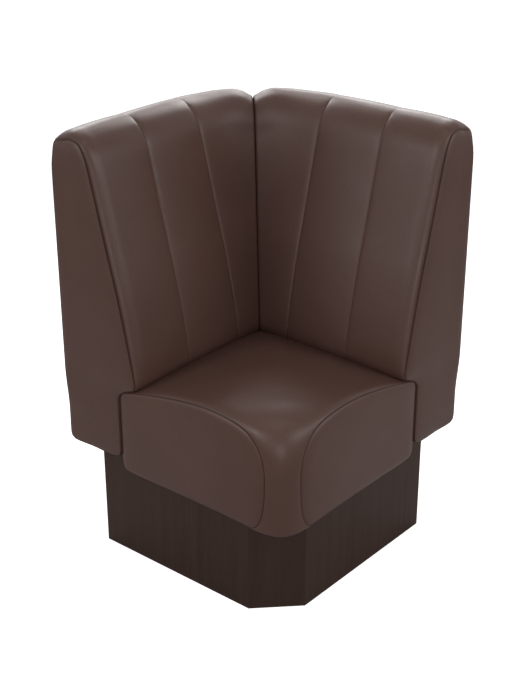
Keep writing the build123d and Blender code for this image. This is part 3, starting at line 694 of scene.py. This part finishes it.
# Depth and height at the seam, depth and height on the diagonal, start angle, stretch at both ends, swell
seat_rows = [
    (500, 239.5, 553, 231, 14, 1.0, 0.9, 1.5), (513, 252, 556, 240, 14, 1.0, 0.9, 2.5),
    (521, 270, 557.5, 261, 14, 1.0, 0.9, 2.5), (525.5, 290, 559.5, 285, 14, 1.0, 0.9, 2.5),
    (528.5, 316, 560.5, 312, 14, 1.0, 0.9, 2.5), (529.5, 345, 561, 341, 14, 1.0, 0.9, 2.5),
    (528.5, 370, 561, 368, 15, 1.0, 0.9, 2.5), (524, 395, 559, 395, 18, 1.0, 0.9, 3),
    (516, 413, 554, 420, 24, 1.0, 0.88, 4), (504, 430, 544, 443, 36, 1.0, 0.8, 5),
    (487, 444, 527, 461, 52, 1.0, 0.72, 6), (466, 453, 505, 470, 66, 1.0, 0.65, 7),
    (442, 458, 478, 475, 78, 1.0, 0.55, 7), (394, 461.5, 430, 479, 88, 1.0, 0.45, 7),
    (336, 457.5, 370, 477, 90, 1.0, 0.35, 7), (267, 446.5, 296, 465, 90, 1.0, 0.3, 7),
    (208, 433.5, 230, 443, 92, 1.0, 0.3, 4.5), (172, 424, 186, 429, 96, 1.0, 0.3, 3),
    (157, 419, 159, 417, 110, 0.5, 0.3, 1.2), (150.2, 410, 150.5, 406, 135, 0.12, 0.1, 0.4),
    (149.6, 390, 149.2, 385, 150, 0.08, 0.1, 0.3), (149.6, 320, 149.2, 320, 150, 0.08, 0.1, 0.3),
    (149.6, 272, 149.2, 272, 150, 0.08, 0.1, 0.3), (151, 254, 151, 252, 140, 0.08, 0.1, 0.6),
    (157, 243.5, 157, 243, 120, 0.1, 0.1, 0.8), (172, 240, 172, 240, 95, 0.3, 0.3, 1),
    (300, 240, 300, 240, 90, 1.0, 0.3, 1), (450, 239, 497, 236, 40, 1.0, 0.6, 1),
    (480, 238, 536, 229, 24, 1.0, 0.8, 1),
]
seat_spline, seat_smoothing = 12, 8
middle_of_seat = np.array([330.0, 330.0, 345.0])
# Shares of the way from a side seam to the diagonal: close beside the seam, and then even
even_rings = 26
seat_shares = [0.0, 0.003, 0.007, 0.012, 0.018, 0.026, 0.037, 0.052, 0.072, 0.1]
seat_shares += [0.1 + 0.9 * k / even_rings for k in range(1, even_rings + 1)]
seat_swell_reach, seat_seam_pinch = 9.0, 0.8
gusset_crown_rear, gusset_crown_front, gusset_crown_depths = 6.0, 10.0, (220, 480)
# Plan of the hollow for the seat's boards and deck, and its top
seat_hollow_rear, seat_hollow_reach, seat_hollow_corner, seat_hollow_top = 150.5, 566.5, 505.0, 364.5


def seat_spacing(point):
    """Wide on the bottom and the rear, which are hidden."""
    if point[1] < 241 and point[0] < 440:
        return 12.0
    return 10.0 if point[0] < 150 and 290 < point[1] < 370 else 4.0


def seat_cushion():
    """The seat's foam, cover and gussets, from rings that turn from one side seam to the other."""
    table = respace(smooth_loop(spline_loop(seat_rows, seat_spline), seat_smoothing), seat_spacing)
    seam = table[:, :2]
    around = len(table)
    start = np.stack([seam[:, 0], np.full(around, seat_seam_run), seam[:, 1]], axis=1)
    middle = np.stack([table[:, 2], table[:, 2], table[:, 3]], axis=1)
    angle = np.radians(table[:, 4])
    span = np.linalg.norm(middle[:, :2] - start[:, :2], axis=1)
    tangent_start = np.stack([np.cos(angle), -np.sin(angle)], axis=1) * (span * table[:, 5])[:, None]
    tangent_middle = np.array([[math.sqrt(0.5), -math.sqrt(0.5)]]) * (span * table[:, 6])[:, None]
    half = []
    for t in seat_shares:
        h = hermite(t)
        plan = h[0] * start[:, :2] + h[1] * tangent_start + h[2] * middle[:, :2] + h[3] * tangent_middle
        half.append(np.column_stack([plan, start[:, 2] + (middle[:, 2] - start[:, 2]) * (1 - (1 - t) ** 2)]))
    points = np.stack(half + [ring[:, [1, 0, 2]] for ring in half[:-1]][::-1])
    along = np.gradient(points, axis=0)
    across = (np.roll(points, -1, 1) - np.roll(points, 1, 1)) / 2
    outward = np.cross(along, across)
    outward /= np.maximum(np.linalg.norm(outward, axis=2, keepdims=True), tiny)
    outward *= np.sign(np.sum(outward[len(half) - 1] * (points[len(half) - 1] - middle_of_seat)))
    steps = np.linalg.norm(np.diff(points, axis=0), axis=2)
    from_start = np.vstack([np.zeros((1, around)), np.cumsum(steps, axis=0)])
    distance = np.minimum(from_start, from_start[-1][None, :] - from_start)
    seam_share = bell(distance, seam_reach)
    swell = table[:, 7][None, :] * (1 - np.exp(-distance / seat_swell_reach)) - seat_seam_pinch * seam_share
    points = points + outward * swell[:, :, None]
    # the closeness to the side seams becomes painted shade in the seat's seam grooves
    seam_shades = seam_share.ravel()
    faces = tube_faces(0, len(points), around)
    everything = points.reshape(-1, 3)
    crown_gain = gusset_crown_front - gusset_crown_rear
    crown = lambda flat: gusset_crown_rear + crown_gain * smoothstep(*gusset_crown_depths, flat[:, 0])
    for ring, start_index, swap in ((points[0], 0, False), (points[-1], len(everything) - around, True)):
        seam_ring = ring[:, [1, 0, 2]] if swap else ring
        extra, extra_seam_shades, extra_faces = sewn_panel(seam_ring, crown, len(everything))
        faces += extra_faces + strip_faces(start_index, len(everything), around)
        everything = np.vstack([everything, extra[:, [1, 0, 2]] if swap else extra])
        seam_shades = np.concatenate([seam_shades, extra_seam_shades])
    made = placed_mesh("seat_cushion", everything, faces, False)
    finish_piece(made, seam_shades, replaced=(
        "seat_cover", "seat_left_gusset", "seat_right_gusset", "seat_foam", "seat_edge_foam"))
    rear, reach, corner = seat_hollow_rear, seat_hollow_reach, seat_hollow_corner
    plan = [(rear, rear), (rear, reach), (corner, reach), (reach, corner), (reach, rear)]
    hollow_out(made, [(u, v, z) for u, v in plan for z in (below, seat_hollow_top)], False)
    return made


for side, mirrored, channels in (("left", False, left_channels), ("right", True, right_channels)):
    back_pad(f"{side}_back_pad", mirrored, channels,
             (f"{side}_back_cover", f"{side}_back_end_panel", f"{side}_back_foam"))
seat_cushion()


# Light, floor and background


def area_light(name, size, energy, location, target):
    """A rectangular light that faces its target."""
    data = bpy.data.lights.new(name, "AREA")
    data.shape = "RECTANGLE"
    data.size, data.size_y = size
    data.energy = energy
    light = bpy.data.objects.new(name, data)
    scene.collection.objects.link(light)
    light.location = location
    light.rotation_euler = (Vector(target) - Vector(location)).to_track_quat("-Z", "Y").to_euler()
    return light


# Name, size in metres, watts, place, target
softboxes = [
    ("rear_softbox", (1.8, 0.9), 14.0, (-1.3, 1.3, 1.65), (0.0, 0.0, 0.9)),
    ("right_rear_softbox", (0.8, 0.8), 12.0, (-0.6, 1.4, 1.95), (0.0, 0.0, 0.9)),
    ("left_rear_softbox", (0.8, 0.8), 11.0, (-1.4, 0.6, 1.95), (0.0, 0.0, 0.9)),
    ("top_softbox", (0.7, 0.7), 3.5, (0.5, -0.45, 2.5), (0.0, 0.0, 0.5)),
    ("right_softbox", (1.0, 1.2), 15.5, (2.3, 0.9, 1.5), (0.0, -0.1, 0.6)),
    ("left_softbox", (1.0, 1.2), 14.5, (-0.9, -2.3, 1.5), (0.1, 0.0, 0.6)),
    ("front_softbox", (0.8, 0.6), 8.5, (1.6, -1.7, 0.8), (0.2, -0.2, 0.35)),
]
for softbox in softboxes:
    area_light(*softbox)
# Narrow lights that only draw the streaks on the seat's rounded nose and on the edges
strips = [
    ("right_strip", (0.25, 0.9), 12.0, (2.1, -0.2, 1.7), (0.25, -0.25, 0.42)),
    ("left_strip", (0.25, 0.9), 12.0, (0.2, -2.1, 1.7), (0.25, -0.25, 0.42)),
]
for strip in strips:
    area_light(*strip).visible_diffuse = False


def white_share(nodes, links):
    """1 for what the camera, a mirror or a glass shows, and 0 for what lights the object."""
    path = node(nodes, "ShaderNodeLightPath")
    share = path.outputs["Is Camera Ray"]
    for other in ("Is Glossy Ray", "Is Transmission Ray"):
        either = node(nodes, "ShaderNodeMath", operation="MAXIMUM")
        links.new(share, either.inputs[0])
        links.new(path.outputs[other], either.inputs[1])
        share = either.outputs["Value"]
    return share


world_light = 0.52
floor_size, floor_glow = 6.0, 0.85
floor_greys, floor_roughness = [(0.0, 0.49), (1.0, 0.51)], 0.95


def add_world():
    """A white background, which lights the object less than it shows."""
    sky = bpy.data.worlds.new("studio")
    scene.world = sky
    sky.use_nodes = True
    nodes, links = sky.node_tree.nodes, sky.node_tree.links
    nodes.clear()
    white = (1, 1, 1, 1)
    lighting, shown = [
        node(nodes, "ShaderNodeBackground", Strength=strength, Color=white).outputs["Background"]
        for strength in (world_light, 1.0)]
    mixed = mixed_shader(nodes, links, white_share(nodes, links), lighting, shown)
    links.new(mixed, node(nodes, "ShaderNodeOutputWorld").inputs["Surface"])


def add_floor():
    """A pale floor that takes the shadow and looks white to the camera alone."""
    mesh = bpy.data.meshes.new("floor")
    corners = ((-1, -1), (1, -1), (1, 1), (-1, 1))
    mesh.from_pydata([(x * floor_size, y * floor_size, 0) for x, y in corners], [], [(0, 1, 2, 3)])
    made = bpy.data.objects.new("floor", mesh)
    scene.collection.objects.link(made)
    material, nodes, links, shader = new_material("pale_floor")
    speckle = node(nodes, "ShaderNodeTexNoise", Scale=60.0, Detail=2.0)
    links.new(ramp(nodes, links, speckle.outputs["Fac"], floor_greys), shader.inputs["Base Color"])
    shader.inputs["Roughness"].default_value = floor_roughness
    mesh.materials.append(material)
    glow = node(nodes, "ShaderNodeEmission", Strength=floor_glow)
    added = node(nodes, "ShaderNodeAddShader")
    links.new(shader.outputs["BSDF"], added.inputs[0])
    links.new(glow.outputs["Emission"], added.inputs[1])
    seen = node(nodes, "ShaderNodeLightPath").outputs["Is Camera Ray"]
    mixed = mixed_shader(nodes, links, seen, shader.outputs["BSDF"], added.outputs["Shader"])
    links.new(mixed, nodes["Material Output"].inputs["Surface"])


add_world()
add_floor()
